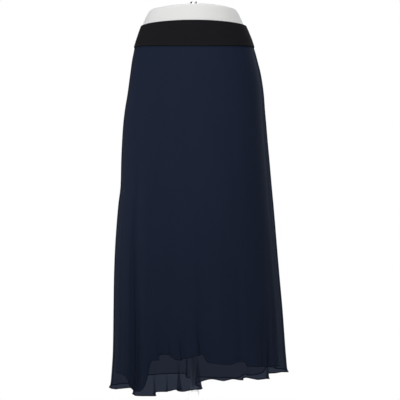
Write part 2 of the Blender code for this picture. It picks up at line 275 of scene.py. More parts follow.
Fold = namedtuple("Fold", "pleat angle depth start lap")
FOLDS = (
    Fold(0, -90.0, 0.004, 0.60, 0.00),
    Fold(3, -70.0, 0.006, 0.55, 0.00),
    Fold(6, -51.5, 0.024, 0.28, -0.38),
    Fold(8, -27.8, 0.013, 0.88, 0.50),
    Fold(9, -17.6, 0.004, 0.89, 0.34),
    Fold(10, -10.0, 0.010, 0.885, 0.50),
    Fold(12, 2.8, 0.006, 0.89, 0.52),
    Fold(12.6, 7.5, 0.011, 0.52, 0.00),
    Fold(15, 31.8, 0.005, 0.70, 0.20),
    Fold(19, 53.0, 0.011, 0.86, 0.26),
    Fold(21, 69.0, 0.005, 0.60, 0.00),
    Fold(24, 90.0, 0.006, 0.50, 0.00),
    Fold(27, 111.0, 0.014, 0.45, 0.00),
    Fold(31, 141.0, 0.018, 0.50, 0.30),
    Fold(34, 165.0, 0.008, 0.60, 0.00),
    Fold(37, 185.5, 0.016, 0.40, -0.30),
    Fold(40, 211.0, 0.006, 0.60, 0.00),
    Fold(43, 232.0, 0.016, 0.50, 0.30),
    Fold(46, 255.0, 0.010, 0.55, 0.00),
    Fold(48, 270.0, 0.004, 0.60, 0.00),
)
FOLD_REACH = 1.0  # how many pleats to each side a fold draws in
LIP_REACH = 0.25  # how many pleats to each side of its lip a lap draws round
print("folds:", len(FOLDS))

# %% [markdown]
# ## Hems
# Neither hem is level. Each follows a table of heights round the skirt, in metres, with a step wherever a
# fold laps over its neighbour, since the cloth that laps hangs at another height. Both hems hang higher on
# the right, as in the photograph.

# %% The overlay's hem
HemPoint = namedtuple("HemPoint", "pleat height")


def hem_table(*points):
    return [HemPoint(*point) for point in points]


SHEER_HEM = hem_table(
    (0.0, 0.1118), (3.0, 0.1129), (4.0, 0.1163), (5.0, 0.1199), (5.8, 0.1223), (6.2, 0.1068),
    (7.2, 0.1081), (7.73, 0.1095), (8.2, 0.1198), (9.2, 0.1247), (9.8, 0.1291), (10.2, 0.1235),
    (10.6, 0.1246), (11.0, 0.1269), (11.2, 0.1285), (11.5, 0.1295), (11.72, 0.1299), (11.8, 0.1343),
    (12.2, 0.1473), (12.6, 0.1519), (13.0, 0.1544), (13.3, 0.1527), (13.6, 0.1505), (13.8, 0.1514),
    (14.2, 0.1541), (14.5, 0.1517), (14.75, 0.1495), (15.2, 0.1553), (16.0, 0.1517), (17.0, 0.1479),
    (17.5, 0.1486), (18.2, 0.1483), (18.8, 0.1463), (19.2, 0.1593), (20.2, 0.1595), (21.0, 0.1579),
    (24.0, 0.1508), (27.0, 0.1498), (29.0, 0.1483), (29.8, 0.1293), (30.8, 0.1213), (31.2, 0.1243),
    (32.5, 0.1088), (36.8, 0.1088), (37.2, 0.1203), (42.8, 0.1193), (43.2, 0.1033), (46.0, 0.1083),
    (48.0, 0.1118),
)
CURL = 0.002  # how far the hem curls out at the sides
CURL_LENGTH = 0.015  # the share of the length that curls
print("overlay's hem: lowest", min(point.height for point in SHEER_HEM))

# %% The lining's hem
LINING_HEM = hem_table(
    (0.0, 0.1500), (3.0, 0.1530), (4.5, 0.1500), (5.1, 0.1400), (5.4, 0.1200), (5.8, 0.1115),
    (6.3, 0.1120), (6.9, 0.1205), (7.05, 0.1262), (7.3, 0.1620), (7.42, 0.1960), (7.8, 0.1975),
    (8.2, 0.2120), (8.8, 0.2130), (9.2, 0.2060), (9.6, 0.1995), (10.0, 0.1995), (10.3, 0.2035),
    (11.0, 0.2060), (12.3, 0.2145), (12.5, 0.2110), (12.8, 0.1940), (14.4, 0.1880), (14.8, 0.1935),
    (15.6, 0.1930), (15.9, 0.1815), (17.0, 0.1790), (18.0, 0.1770), (19.2, 0.1750), (21.0, 0.1730),
    (24.0, 0.1650), (30.0, 0.1900), (36.0, 0.1970), (42.0, 0.1800), (48.0, 0.1500),
)
print("lining's hem: lowest", min(point.height for point in LINING_HEM))

# %% [markdown]
# ## The space between the layers
# The lining is cut narrower than the overlay, so it hangs free inside it. The space between them grows from
# the band to the hem. Round the left side the two hang closer together.

# %% Space between the layers
Inset = namedtuple("Inset", "share lining")
INSETS = (
    Inset(0.00, 0.0040),
    Inset(0.12, 0.0060),
    Inset(0.40, 0.0105),
    Inset(0.75, 0.0160),
    Inset(1.00, 0.0195),
)
LINING_FOLD_SHARE = 0.8  # how deep the lining's folds are, over the overlay's
LEFT_CLOSENESS = 0.45  # by what share the space narrows at the left side's hem
LEFT_REACH = 8.0  # how many pleats to each side of the left seam hang so close
TUCK = 0.005  # how far the cloth runs up behind the band
PINCH = 0.0012  # how far the band presses the overlay in
PINCH_LENGTH = 0.03  # the share of the length that is pressed in
print("space at the hem:", INSETS[-1].lining)

# %% [markdown]
# ## From a place on the cloth to a point in space
# Two numbers name a place on the cloth: pleat, round it, and share, down it. These functions give the point
# in space for arrays of places, and the direction that is outward there, which the pleats will need.
# Sculpting could make the same folds, but a function can be asked again, by the lining and by the hems.

# %% The skirt's surface


def folds_at(pleat, share):
    """How deep the folds are at each place, and how far they pull it round, in pleats."""
    depth = 0.0 * pleat
    shift = 0.0 * pleat
    for fold in FOLDS:
        growth = np.clip((share - fold.start) / (1 - fold.start), 0.0, None)
        distance = pleat - fold.pleat
        side = 1 if fold.lap >= 0 else -1
        depth += fold.depth * growth * bump(distance, FOLD_REACH)
        lip = bump(distance + LIP_REACH * side, LIP_REACH)
        shift += fold.lap * growth * (lip - 0.5 * bump(distance, LIP_REACH))
    return depth, shift


def skirt_surface(pleat, share, hem, fold_share, inset):
    """The points of a layer with no pleats, and the outward direction at each."""
    fold_depth, shift = folds_at(pleat, share)
    angle = np.radians(straight(FOLDS, "angle", pleat) + fold_share * shift * 360 / PLEATS)
    top = band_lower_edge(angle) + TUCK
    bottom = along(hem, "height", pleat)
    height = top + (bottom - top) * share
    points = oval(SKIRT_SECTIONS, height, angle, fold_share * fold_depth + inset)
    outward = np.stack((np.sin(angle), -np.cos(angle), 0 * angle), axis=-1)
    return points, outward


def sheer_surface(pleat, share):
    beside_seam = (1 + np.cos(2 * pi * pleat / PANEL_PLEATS)) / 2
    near_hem = np.clip((share - (1 - CURL_LENGTH)) / CURL_LENGTH, 0, 1)
    inset = PINCH * bump(share, PINCH_LENGTH) - CURL * beside_seam * near_hem**2
    return skirt_surface(pleat, share, SHEER_HEM, 1.0, inset)


def lining_surface(pleat, share):
    from_left = np.minimum(pleat, PLEATS - pleat)
    closeness = 1 - LEFT_CLOSENESS * share * bump(from_left, LEFT_REACH)
    inset = along(INSETS, "lining", share) * closeness
    return skirt_surface(pleat, share, LINING_HEM, LINING_FOLD_SHARE, inset)


hem_middle = sheer_surface(np.array([PANEL_PLEATS / 2]), np.array([1.0]))[0][0]
print("middle of the front hem:", hem_middle.round(4).tolist())

# %% [markdown]
# ## A sheet of cloth as a grid
# A panel of cloth is a grid of quads over a range of places. Its places are stored on the points as
# attributes, so that Geometry Nodes can read them later. Its UV map is the flat cloth in metres and not an
# unwrapping of the finished shape, so that a weave keeps its true size and runs straight down every fold.

# %% Sheets
SKIRT_LENGTH = 0.93
CUT_WIDTH = 1.80  # round the whole hem, with the pleats pulled flat


def linked(name, data):
    made = bpy.data.objects.new(name, data)
    scene.collection.objects.link(made)
    return made


def grid_of_cloth(name, surface, pleats, shares):
    """A grid of quads on a surface, one point for each pair of a pleat and a share."""
    pleat, share = np.meshgrid(pleats, shares)
    points, outward = surface(pleat, share)
    corner = np.arange(pleat.size).reshape(pleat.shape)
    around = (corner[:-1, :-1], corner[1:, :-1], corner[1:, 1:], corner[:-1, 1:])
    faces = np.stack(around, axis=-1).reshape(-1, 4)
    data = bpy.data.meshes.new(name)
    data.from_pydata(points.reshape(-1, 3).tolist(), [], faces.tolist())
    for label, values in (("pleat", pleat), ("share", share)):
        data.attributes.new(label, "FLOAT", "POINT").data.foreach_set("value", values.ravel())
    data.attributes.new("outward", "FLOAT_VECTOR", "POINT").data.foreach_set("vector", outward.ravel())
    flat = np.stack((pleat * CUT_WIDTH / PLEATS, (1 - share) * SKIRT_LENGTH), axis=-1).reshape(-1, 2)
    data.uv_layers.new(name="cloth").data.foreach_set("uv", flat[faces.ravel()].ravel())
    data.shade_smooth()
    return linked(name, data)


print("a pleat's flat width at the hem:", CUT_WIDTH / PLEATS)

# %% [markdown]
# ## Small helpers for node trees
# Geometry and shader trees are both made of nodes with sockets. They could be drawn in the editor, but a
# script can be read and run again. One helper adds a node and fills its inputs in order, from values or
# from other nodes' outputs, and returns its first output, which keeps the recipes short.

# %% Node helpers


def add(tree, kind, *inputs, **settings):
    """A new node's first output, with the node's inputs linked or set in order."""
    made = tree.nodes.new(kind)
    for label, value in settings.items():
        setattr(made, label, value)
    for socket, value in zip(made.inputs, inputs):
        if isinstance(value, bpy.types.NodeSocket):
            tree.links.new(value, socket)
        elif value is not None:
            socket.default_value = value
    return made.outputs[0]


def maths(tree, operation, *inputs):
    return add(tree, "ShaderNodeMath", *inputs, operation=operation)


def times(tree, first, second):
    return maths(tree, "MULTIPLY", first, second)


def new_tree(name, *sizes):
    """A Geometry Nodes tree with named sizes and a material: the tree, its inputs and its last socket."""
    tree = bpy.data.node_groups.new(name, "GeometryNodeTree")
    inputs = [("Geometry", "Geometry"), *((size, "Float") for size in sizes), ("Material", "Material")]
    for label, kind in inputs:
        tree.interface.new_socket(label, in_out="INPUT", socket_type="NodeSocket" + kind)
    tree.interface.new_socket("Geometry", in_out="OUTPUT", socket_type="NodeSocketGeometry")
    print(name, "from:", [label for label, kind in inputs])
    start = tree.nodes.new("NodeGroupInput")
    end = tree.nodes.new("NodeGroupOutput")
    return tree, start.outputs, end.inputs[0]


def finish_tree(tree, geometry, material, last):
    """Ends a tree with its instances made real and its material set."""
    real = add(tree, "GeometryNodeRealizeInstances", geometry)
    tree.links.new(add(tree, "GeometryNodeSetMaterial", real, None, material), last)


def grown(name, base, tree, values):
    """The plain mesh that a tree makes from a base object, which is then removed.

    A modifier's input goes by its socket's identifier and not by its name.
    """
    step = base.modifiers.new(tree.name, "NODES")
    step.node_group = tree
    sockets = {item.name: item.identifier for item in tree.interface.items_tree if item.in_out == "INPUT"}
    for label, value in values.items():
        step[sockets[label]] = value
    ready = base.evaluated_get(bpy.context.evaluated_depsgraph_get())
    data = bpy.data.meshes.new_from_object(ready)
    bpy.data.objects.remove(base)
    data.name = name
    made = linked(name, data)
    print(name, "faces:", len(data.polygons))
    return made


# %% [markdown]
# ## Cloth materials
# The cloths are matt, so almost all of their look is a dark colour and a fine relief, and on the
# chiffon a little sheen where its fibres catch the light at a grazing angle. Its twisted yarns give it a
# pebbly grain and faint streaks that run down the pleats. The lining is a plain weave. A scanned picture of
# cloth would repeat, and these patterns don't. They read the flat UV map. The lining is given a lighter
# blue than the overlay, because it is only seen through it: painted light that makes up for the shade the
# overlay casts on it.

# %% Helpers for materials


def principled(name, colour, roughness, **sockets):
    """A new material, with its tree and its Principled shader."""
    made = bpy.data.materials.new(name)
    made.use_nodes = True
    shader = made.node_tree.nodes["Principled BSDF"]
    shader.inputs["Base Color"].default_value = (*colour, 1)
    shader.inputs["Roughness"].default_value = roughness
    for label, value in sockets.items():
        shader.inputs[label.replace("_", " ")].default_value = value
    return made, made.node_tree, shader


def noise(tree, coordinates, detail=2.0):
    return add(tree, "ShaderNodeTexNoise", coordinates, None, 1.0, detail)


def patches(tree, coordinates, per_metre, detail=2.0):
    """Soft noise with about that many patches a metre along each axis."""
    return noise(tree, add(tree, "ShaderNodeMapping", coordinates, None, None, per_metre), detail)


def flat_cloth(tree):
    node = tree.nodes.new("ShaderNodeUVMap")
    node.uv_map = "cloth"
    return node.outputs[0]


def in_place(tree):
    return tree.nodes.new("ShaderNodeTexCoord").outputs["Object"]


def tinted(tree, shader, colour, pattern, low, high):
    """Colours that go from low to high times a colour as the pattern goes from dark to light."""
    mix = tree.nodes.new("ShaderNodeMix")
    mix.data_type = "RGBA"
    tree.links.new(pattern, mix.inputs["Factor"])
    colour_sockets = [socket for socket in mix.inputs if socket.type == "RGBA"]
    colour_sockets[0].default_value = (*(low * part for part in colour), 1)
    colour_sockets[1].default_value = (*(high * part for part in colour), 1)
    result = [socket for socket in mix.outputs if socket.type == "RGBA"][0]
    tree.links.new(result, shader.inputs["Base Color"])


def relief(tree, shader, height, metres):
    """A bump of that many metres from a pattern of 0 to 1."""
    node = tree.nodes.new("ShaderNodeBump")
    node.inputs["Strength"].default_value = 1.0
    node.inputs["Distance"].default_value = metres
    tree.links.new(height, node.inputs["Height"])
    tree.links.new(node.outputs[0], shader.inputs["Normal"])


def ridges(tree, coordinates, pitch, axis):
    """Ridges across an axis, a pitch apart. A wave texture of scale 1 has 20 of them in 2 pi metres."""
    return add(tree, "ShaderNodeTexWave", coordinates, 2 * pi / 20 / pitch, bands_direction=axis)


def weave(tree, coordinates, pitch):
    """Warp and weft ridges that cross, as a pattern of 0 to 1."""
    both = (ridges(tree, coordinates, pitch, axis) for axis in "XY")
    return times(tree, maths(tree, "ADD", *both), 0.5)


Pattern = namedtuple("Pattern", "per_metre detail low high metres")


def patterned(name, colour, roughness, pattern, **sockets):
    """A material that one soft pattern both tints, from low to high, and raises by so many metres."""
    made, tree, shader = principled(name, colour, roughness, **sockets)
    patch = patches(tree, in_place(tree), pattern.per_metre, pattern.detail)
    tinted(tree, shader, colour, patch, pattern.low, pattern.high)
    relief(tree, shader, patch, pattern.metres)
    return made


# %% Chiffon
CHIFFON = (0.0104, 0.0150, 0.0300)
CHIFFON_COVER = 0.43  # how much of what is behind it one layer hides
STREAKS = (420, 9, 1)  # patches a metre, across and down the cloth
GRAIN = (1100, 1100, 1)
CHIFFON_RELIEF = 0.00012

chiffon, tree, shader = principled(
    "navy_chiffon",
    CHIFFON,
    0.85,
    Alpha=CHIFFON_COVER,
    Specular_IOR_Level=0.0,
    Sheen_Weight=0.05,
    Sheen_Roughness=0.35,
    Sheen_Tint=(0.55, 0.75, 1.0, 1.0),
)
cloth = flat_cloth(tree)
streaks = patches(tree, cloth, STREAKS, 3.0)
grain = patches(tree, cloth, GRAIN, 1.0)
tinted(tree, shader, CHIFFON, streaks, 0.86, 1.14)
relief(tree, shader, maths(tree, "ADD", streaks, grain), CHIFFON_RELIEF)
print("overlay:", chiffon.name)

# %% Lining cloth and thread
# Lighter than the lining cloth's own navy: painted light for the shade that the overlay casts on the lining.
LINING = (0.0234, 0.0335, 0.0670)
DYE = (14, 5, 1)  # patches a metre, where the dye has taken unevenly
LINING_PITCH = 0.0006  # from one yarn of the weave to the next
LINING_RELIEF = 0.00006
THREAD = (0.0045, 0.0065, 0.0120)
TWIST = Pattern((900, 900, 900), 1.0, 0.80, 1.20, 0.0001)

lining_cloth, tree, shader = principled("navy_lining", LINING, 0.75, Specular_IOR_Level=0.08)
cloth = flat_cloth(tree)
tinted(tree, shader, LINING, patches(tree, cloth, DYE), 0.90, 1.10)
relief(tree, shader, weave(tree, cloth, LINING_PITCH), LINING_RELIEF)

thread = patterned("navy_thread", THREAD, 0.85, TWIST, Specular_IOR_Level=0.05)
print("lining and thread:", lining_cloth.name, thread.name)

# %% [markdown]
# ## Pleating the sheer overlay
# The overlay is one rule repeated 48 times: a broad rounded ridge and a narrower valley. It could be
# modelled pleat by pleat, but a Geometry Nodes tree says the rule once: it pushes each point of the plain
# sheet inward by the depth of the pleat there. The depth grows from the band to the hem, is less beside the
# seams, where the cloth is pulled flat, and noise makes the pleats uneven and lets them wander a little, as
# pressed pleats do once worn.

# %% What the pleating tree reads


def stored(tree, label, kind):
    """An attribute that the sheet's points carry."""
    node = tree.nodes.new("GeometryNodeInputNamedAttribute")
    node.data_type = kind
    node.inputs["Name"].default_value = label
    return node.outputs["Attribute"]


def wavering(tree, x, y, seed):
    """Soft noise of about -0.5 to 0.5 over two numbers."""
    place = add(tree, "ShaderNodeCombineXYZ", x, y, seed)
    return maths(tree, "SUBTRACT", noise(tree, place, 1.0), 0.5)


# %% The pleating tree
PLEAT_SIZES = ("Depth at Band", "Depth at Hem", "Unevenness", "Wander", "Seed")
pleating, given, last = new_tree("pleat the cloth", *PLEAT_SIZES)
pleat = stored(pleating, "pleat", "FLOAT")
share = stored(pleating, "share", "FLOAT")
outward = stored(pleating, "outward", "FLOAT_VECTOR")

# %% The depth of the pleats
PatchRate = namedtuple("PatchRate", "per_pleat down")
SWAY = PatchRate(0.45, 1.6)  # how fast the pleats' wander changes
VARIETY = PatchRate(0.9, 1.8)  # how fast their depth changes
FAR_SEED = 40.0  # sets the one noise far from the other
VALLEY_POWER = 1.2  # over 1, the valleys are narrower than the ridges
SEAM_SHARE = 0.25  # how much of their depth the pleats keep beside the seams


def patchy(rate, seed):
    """Noise over the cloth that changes at a rate, round it and down it."""
    across = times(pleating, pleat, rate.per_pleat)
    return wavering(pleating, across, times(pleating, share, rate.down), seed)


sway = patchy(SWAY, maths(pleating, "ADD", given["Seed"], FAR_SEED))
turn = maths(pleating, "ADD", pleat, times(pleating, sway, given["Wander"]))
wave = maths(pleating, "COSINE", times(pleating, turn, 2 * pi))
valley = maths(pleating, "POWER", maths(pleating, "MULTIPLY_ADD", wave, 0.5, 0.5), VALLEY_POWER)
varied = maths(pleating, "MULTIPLY_ADD", patchy(VARIETY, given["Seed"]), given["Unevenness"], 1.0)
half_turn = maths(pleating, "SINE", times(pleating, pleat, pi / PANEL_PLEATS))
from_seam = maths(pleating, "ABSOLUTE", half_turn)
loose = maths(pleating, "MULTIPLY_ADD", from_seam, 1 - SEAM_SHARE, SEAM_SHARE)
growth = maths(pleating, "SUBTRACT", given["Depth at Hem"], given["Depth at Band"])
depth = maths(pleating, "MULTIPLY_ADD", growth, share, given["Depth at Band"])
deep = times(pleating, times(pleating, depth, varied), loose)
push = times(pleating, deep, times(pleating, valley, -1.0))
moved = pleating.nodes.new("ShaderNodeVectorMath")
moved.operation = "SCALE"
pleating.links.new(outward, moved.inputs[0])
pleating.links.new(push, moved.inputs["Scale"])
pleated = add(pleating, "GeometryNodeSetPosition", given["Geometry"], None, None, moved.outputs[0])
finish_tree(pleating, pleated, given["Material"], last)
print("pleating tree nodes:", len(pleating.nodes))

# %% [markdown]
# ## The two sheer panels
# The front and the back are cut alike and meet at the side seams. A Solidify modifier could give the cloth
# its thickness, but two walls so close together would dim what is behind them twice. So the chiffon is a
# single surface with one even transparency. Its rows lie closer together at the hem, where it curls.

# %% Sheer panels
PLEAT_STEPS = 16  # columns of quads in each pleat
SHEER_ROWS = 90
HEM_ROWS = 8
HEM_FROM = 0.98  # the share of the length above the close rows
HEM_STEP = 0.0025  # from there to the first of them

above_hem = np.linspace(0, HEM_FROM, SHEER_ROWS - HEM_ROWS)
shares = np.r_[above_hem, np.linspace(HEM_FROM + HEM_STEP, 1, HEM_ROWS)]
panels = {}
for label, first in (("front", 0), ("back", PANEL_PLEATS)):
    pleats = np.linspace(first, first + PANEL_PLEATS, PANEL_PLEATS * PLEAT_STEPS + 1)
    plain = grid_of_cloth("plain_" + label, sheer_surface, pleats, shares)
    panels[label] = grown(
        "sheer_" + label,
        plain,
        pleating,
        {
            "Depth at Band": 0.0006,
            "Depth at Hem": 0.0036,
            "Unevenness": 0.9,
            "Wander": 0.5,
            "Seed": 3.0,
            "Material": chiffon,
        },
    )

# %% [markdown]
# ## Hems and seams
# A chiffon hem is rolled round itself and sewn, which makes a thin dark cord along the edge. Each side seam
# is a narrow roll inside the skirt. A curve with a bevel would give the roll but not its stitches. Both
# follow a line on the finished sheet, so a second tree turns any line of points into a tube with stitches
# along it.

# %% The sewing tree
SEWING_SIZES = ("Radius", "Step", "Stitch Length", "Stitch Spacing")
sewing, given, last = new_tree("sew along a line", *SEWING_SIZES)
line = add(sewing, "GeometryNodeMeshToCurve", given["Geometry"])


def spaced(tree, curve, distance):
    """A curve's points moved to an even distance."""
    node = tree.nodes.new("GeometryNodeResampleCurve")
    node.mode = "LENGTH"
    tree.links.new(curve, node.inputs["Curve"])
    tree.links.new(distance, node.inputs["Length"])
    return node.outputs[0]


# %% The tube and its stitches
TUBE_SIDES = 7
STITCH_FATNESS = 1.22  # a stitch's thickness over the tube's

ring = sewing.nodes.new("GeometryNodeCurvePrimitiveCircle")
ring.inputs["Resolution"].default_value = TUBE_SIDES
sewing.links.new(given["Radius"], ring.inputs["Radius"])
tube = sewing.nodes.new("GeometryNodeCurveToMesh")
sewing.links.new(spaced(sewing, line, given["Step"]), tube.inputs["Curve"])
sewing.links.new(ring.outputs["Curve"], tube.inputs["Profile Curve"])
tube.inputs["Fill Caps"].default_value = True

stitch = sewing.nodes.new("GeometryNodeMeshIcoSphere")
sewing.links.new(given["Radius"], stitch.inputs["Radius"])
places = sewing.nodes.new("GeometryNodeCurveToPoints")
places.mode = "LENGTH"
sewing.links.new(line, places.inputs["Curve"])
sewing.links.new(given["Stitch Spacing"], places.inputs["Length"])
long = maths(sewing, "DIVIDE", given["Stitch Length"], times(sewing, given["Radius"], 2.0))
size = add(sewing, "ShaderNodeCombineXYZ", STITCH_FATNESS, STITCH_FATNESS, long)
sewn = sewing.nodes.new("GeometryNodeInstanceOnPoints")
sewing.links.new(places.outputs["Points"], sewn.inputs["Points"])
sewing.links.new(stitch.outputs["Mesh"], sewn.inputs["Instance"])
sewing.links.new(places.outputs["Rotation"], sewn.inputs["Rotation"])
sewing.links.new(size, sewn.inputs["Scale"])
both = sewing.nodes.new("GeometryNodeJoinGeometry")
for part in (sewn.outputs["Instances"], tube.outputs["Mesh"]):
    sewing.links.new(part, both.inputs[0])
smooth = add(sewing, "GeometryNodeSetShadeSmooth", both.outputs[0])
finish_tree(sewing, smooth, given["Material"], last)
print("sewing tree nodes:", len(sewing.nodes))

# %% Lines on a sheet
TUBE_STEP = 0.0025  # from one ring of a tube to the next

Sewing = namedtuple("Sewing", "radius stitch spacing")


def sheet_points(sheet, rows):
    """A finished sheet's points, as rows from its top to its hem."""
    found = np.empty(3 * len(sheet.data.vertices))
    sheet.data.vertices.foreach_get("co", found)
    return found.reshape(rows, -1, 3)


def line_object(points):
    """An object of edges from point to point."""
    data = bpy.data.meshes.new("line")
    data.from_pydata([tuple(point) for point in points], [(i, i + 1) for i in range(len(points) - 1)], [])
    return linked("line", data)


def sewn_line(name, points, kind, material):
    """A row of stitches on a tube along points, in the sizes of a kind of sewing."""
    values = {
        "Radius": kind.radius,
        "Step": TUBE_STEP,
        "Stitch Length": kind.stitch,
        "Stitch Spacing": kind.spacing,
        "Material": material,
    }
    return grown(name, line_object(points), sewing, values)


# %% Hems and side seams of the overlay
ROLLED_HEM = Sewing(0.0014, 0.0022, 0.0036)
SIDE_SEAM = Sewing(0.0007, 0.0022, 0.0036)
SEAM_INSET = 0.0012  # the seam's turned edges lie inside the skirt

sewing_pieces = {}
for label, panel in panels.items():
    rows = sheet_points(panel, SHEER_ROWS)
    hem = sewn_line("sheer_hem_" + label, rows[-1], ROLLED_HEM, thread)
    inside = rows[:, -1] - (SEAM_INSET if label == "front" else -SEAM_INSET, 0, 0)
    seam = sewn_line("side_seam_" + label, inside, SIDE_SEAM, thread)
    sewing_pieces[label] = (hem, seam)

# %% [markdown]
# ## The lining
# The lining is opaque, plainer and shorter, and its own hem is turned up and sewn. It could be a smaller
# copy of the overlay, but its hem runs quite differently. So it is a sheet of the same kind with its own
# hem table. It falls into the same folds, though less deeply, and has no pleats.

# %% Lining panels
LINING_STEPS = 8  # columns of quads in each pleat
LINING_ROWS = 60
TURNED_HEM = Sewing(0.0008, 0.0020, 0.0040)

lining_shares = np.linspace(0, 1, LINING_ROWS)
linings = {}
for label, first in (("front", 0), ("back", PANEL_PLEATS)):
    pleats = np.linspace(first, first + PANEL_PLEATS, PANEL_PLEATS * LINING_STEPS + 1)
    panel = grid_of_cloth("lining_panel_" + label, lining_surface, pleats, lining_shares)
    panel.data.materials.append(lining_cloth)
    linings[label] = panel
    rows = sheet_points(panel, LINING_ROWS)
    hem = sewn_line("lining_hem_" + label, rows[-1], TURNED_HEM, thread)
    sewing_pieces["lining_" + label] = (hem,)
print("lining faces:", [len(panel.data.polygons) for panel in linings.values()])

# %% [markdown]
# ## The elastic band
# The band is a strip of black elastic folded double, so both of its edges are soft folds. A solidified
# strip would have square edges, so the band's section is walked round once, down the outside and up the
# inside, and swept round the waist. A shallow groove at the right side is its only seam. Its ribs are too
# fine to model and are a relief in the material.

# %% Band material
BAND_BLACK = (0.0105, 0.0100, 0.0120)
RIB_PITCH = 0.0016  # from one rib of the elastic to the next
BAND_WEAVE_PITCH = 0.0008
MOTTLE = (30, 90, 1)  # patches a metre, round the band and down it
BAND_RELIEF = 0.00008

elastic, tree, shader = principled("black_elastic", BAND_BLACK, 0.92, Specular_IOR_Level=0.05)
cloth = flat_cloth(tree)
ribs = ridges(tree, cloth, RIB_PITCH, "Y")
tinted(tree, shader, BAND_BLACK, patches(tree, cloth, MOTTLE, 3.0), 0.85, 1.15)
relief(tree, shader, maths(tree, "ADD", ribs, weave(tree, cloth, BAND_WEAVE_PITCH)), BAND_RELIEF)
print("band:", elastic.name)

# %% The band's section
BAND_WALL = 0.0024  # both layers together
EDGE_STEPS = 5  # points round each folded edge
OUTSIDE_STEPS = 26
INSIDE_STEPS = 8
FOLD_SHARE = 0.02  # how near to its edges the flat of the band goes


def band_section():
    """Places round the band's section: share down the band, how far inward, and how far lower."""
    radius = BAND_WALL / 2
    turns = np.linspace(0, pi, EDGE_STEPS)
    outside = [(share, 0.0, 0.0) for share in np.linspace(FOLD_SHARE, 1 - FOLD_SHARE, OUTSIDE_STEPS)]
    lower = [(1.0, radius - radius * cos(turn), radius * sin(turn)) for turn in turns]
    inside = [(share, BAND_WALL, 0.0) for share in np.linspace(1 - FOLD_SHARE, FOLD_SHARE, INSIDE_STEPS)]
    upper = [(0.0, radius + radius * cos(turn), -radius * sin(turn)) for turn in turns]
    return outside + lower + inside + upper


print("points round the section:", len(band_section()))

# %% Band
BAND_COLUMNS = 240
BAND_SEAM = radians(90)
GROOVE_DEPTH = 0.0007
GROOVE_HALF_WIDTH = 0.012  # radians
BAND_ROUND = 0.9  # metres round the band, for its UV map


def band_points():
    """The band's points, a row for each place round its section."""
    angles = np.linspace(0, 2 * pi, BAND_COLUMNS, endpoint=False)
    radius = BAND_WALL / 2
    top = BAND_TOP - radius - BAND_TOP_DIP * np.sin(angles) ** 2
    groove = GROOVE_DEPTH * bump(angles - BAND_SEAM, GROOVE_HALF_WIDTH)
    rows = []
    for share, inward, drop in band_section():
        height = top + (band_lower_edge(angles) + radius - top) * share
        points = oval(BAND_SECTIONS, height, angles, inward + (groove if inward < radius else 0.0))
        points[:, 2] -= drop
        rows.append(points)
    return np.array(rows)


def band_mesh(grid):
    """A mesh that closes on itself both round the waist and round its section."""
    count, columns = grid.shape[:2]
    corner = np.arange(count * columns).reshape(count, columns)
    below, beside = np.roll(corner, -1, axis=0), np.roll(corner, -1, axis=1)
    faces = np.stack((corner, below, np.roll(below, -1, axis=1), beside), axis=-1).reshape(-1, 4)
    data = bpy.data.meshes.new("elastic_band")
    data.from_pydata(grid.reshape(-1, 3).tolist(), [], faces.tolist())
    around = np.arange(columns + 1) * BAND_ROUND / columns
    edges = np.diff(np.concatenate((grid[:, 0], grid[:1, 0])), axis=0)
    down = np.cumsum(np.r_[0, np.linalg.norm(edges, axis=1)])
    column = np.tile(np.arange(columns), count)
    row = np.repeat(np.arange(count), columns)
    across = np.stack((around[column], around[column], around[column + 1], around[column + 1]), axis=-1)
    along_section = np.stack((down[row], down[row + 1], down[row + 1], down[row]), axis=-1)
    flat = np.stack((across, along_section), axis=-1)
    data.uv_layers.new(name="cloth").data.foreach_set("uv", flat.ravel())
    data.shade_smooth()
    return data


band = linked("elastic_band", band_mesh(band_points()))
band.data.materials.append(elastic)
print("band faces:", len(band.data.polygons))

# %% [markdown]
# ## The hip form
# The form is a smooth white shell with a slightly crowned top, a soft rim, sides that follow the hips, and
# a flat underside that the skirt hides. A subdivided block could be pulled into shape, but a table keeps it
# to the photograph's outline. The table runs down the profile in steps, so that the rim's tight curve gets
# as many rows as it needs. Above the band the left and right sides differ a little, as the photograph's do.

# %% Form material
FORM_WHITE = (0.735, 0.735, 0.725)
CLOUDS = (9, 9, 9)  # patches a metre, where the shell has dulled unevenly
SKIN = (700, 700, 700)  # the shell's fine grain
SKIN_RELIEF = 0.00003

form_skin, tree, shader = principled("form_white", FORM_WHITE, 0.50, Specular_IOR_Level=0.12)
here = in_place(tree)
tinted(tree, shader, FORM_WHITE, patches(tree, here, CLOUDS, 3.0), 0.985, 1.015)
relief(tree, shader, patches(tree, here, SKIN), SKIN_RELIEF)
print("form:", form_skin.name)

# %% The form's outline
Station = namedtuple("Station", "step height left right front back")
FORM_STATIONS = (
    Station(0, 1.1100, 0.1070, 0.1060, 0.0850, 0.0860),
    Station(1, 1.1080, 0.1140, 0.1112, 0.0895, 0.0905),
    Station(2, 1.1020, 0.1200, 0.1160, 0.0935, 0.0945),
    Station(3, 1.0850, 0.1295, 0.1248, 0.1000, 0.1015),
    Station(4, 1.0688, 0.1357, 0.1320, 0.1052, 0.1072),
    Station(5, 1.0450, 0.1440, 0.1425, 0.1083, 0.1108),
    Station(6, 1.0090, 0.1522, 0.1522, 0.1122, 0.1150),
    Station(7, 0.9800, 0.1578, 0.1578, 0.1148, 0.1196),
    Station(8, 0.9450, 0.1612, 0.1612, 0.1182, 0.1256),
    Station(9, 0.9000, 0.1652, 0.1652, 0.1215, 0.1320),
    Station(10, 0.8500, 0.1675, 0.1675, 0.1225, 0.1350),
    Station(11, 0.8150, 0.1655, 0.1655, 0.1200, 0.1320),
    Station(12, 0.7960, 0.1560, 0.1560, 0.1120, 0.1230),
    Station(13, 0.7900, 0.1430, 0.1430, 0.1000, 0.1110),
)
CROWN = 0.0044  # how far the top rises in the middle
CROWN_MIDDLE = 0.0134  # the crown's top lies a little to the right
CROWN_REACH = 0.110
